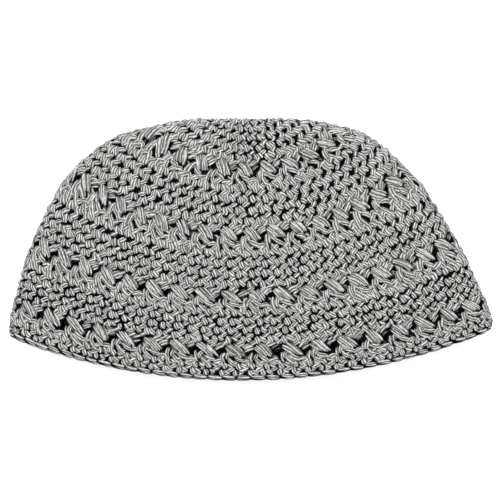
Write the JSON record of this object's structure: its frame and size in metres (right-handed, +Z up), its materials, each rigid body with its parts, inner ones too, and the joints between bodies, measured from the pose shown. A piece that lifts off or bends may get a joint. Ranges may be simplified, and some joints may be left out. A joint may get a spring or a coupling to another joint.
{
  "type": "crocheted kippah",
  "caption": "Crocheted cotton kippah laid flat: crown worked in the round, raised clusters over eyelets in bands, plain rounds between them and an edged open rim.",
  "frame": {"origin": "middle of the underside, on the surface that the flattened cap lies on", "axes": "+Z up out of the front layer, +Y toward the crown fold, -Y toward the open rim, +X to the right side fold"},
  "size_m": [0.2454, 0.1328, 0.0256],
  "materials": {
    "cotton_yarn": "matte light grey cotton yarn, crocheted"
  },
  "bodies": {
    "root": {"cap": "cotton_yarn"}
  },
  "joints": []
}
